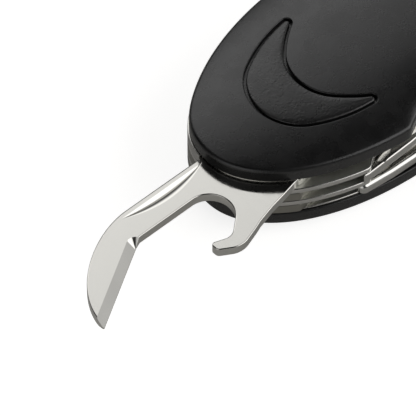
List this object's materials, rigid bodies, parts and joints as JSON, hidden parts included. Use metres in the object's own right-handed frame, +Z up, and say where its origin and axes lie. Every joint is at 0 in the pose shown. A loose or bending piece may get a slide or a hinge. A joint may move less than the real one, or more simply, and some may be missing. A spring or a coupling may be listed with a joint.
{
  "type": "folding golf multitool",
  "caption": "Oval pocket golf multitool with domed black covers; steel bottle opener folded out, divot fork and knife blade folded between the liners.",
  "frame": {"origin": "middle of the flat land underneath the bottom cover, on the face it rests on", "axes": "+X along the body's long axis, away from the end where the bottle opener is folded out; +Z up through the stack of layers; -Y is the open side that the tools swing out of, +Y the closed side with the backsprings"},
  "size_m": [0.1103, 0.0402, 0.0202],
  "materials": {
    "cover_black": "satin, fine moulded grain",
    "grip_black": "matte, coarse moulded grain",
    "liner_steel": "polished edges, brushed faces",
    "tool_steel": "satin ground faces, bright edges",
    "spring_steel": "polished backs",
    "pin_steel": "turned and peened"
  },
  "bodies": {
    "frame": {"top_cover": "cover_black", "bottom_cover": "cover_black", "top_grip_inlay": "grip_black", "bottom_grip_inlay": "grip_black", "top_liner": "liner_steel", "upper_middle_liner": "liner_steel", "lower_middle_liner": "liner_steel", "bottom_liner": "liner_steel", "upper_backspring": "spring_steel", "middle_backspring": "spring_steel", "lower_backspring": "spring_steel", "rear_spacer": "spring_steel", "middle_front_spacer": "spring_steel", "lower_front_spacer": "spring_steel", "front_pivot_pin": "pin_steel", "rear_pivot_pin": "pin_steel", "spring_rivet": "pin_steel"},
    "opener": {"bottle_opener": "tool_steel"},
    "knife": {"knife_blade": "tool_steel"},
    "fork": {"divot_fork": "tool_steel"}
  },
  "joints": [
    {"name": "opener_fold", "type": "hinge", "parent": "frame", "child": "opener", "pos_m": [-0.026, -0.0065, 0.0135], "axis": [0, 0, 1], "range_deg": [0, 180]},
    {"name": "knife_fold", "type": "hinge", "parent": "frame", "child": "knife", "pos_m": [0.026, -0.0065, 0.0101], "axis": [0, 0, 1], "range_deg": [0, 180]},
    {"name": "fork_fold", "type": "hinge", "parent": "frame", "child": "fork", "pos_m": [0.026, -0.0065, 0.0067], "axis": [0, 0, 1], "range_deg": [0, 180]}
  ]
}
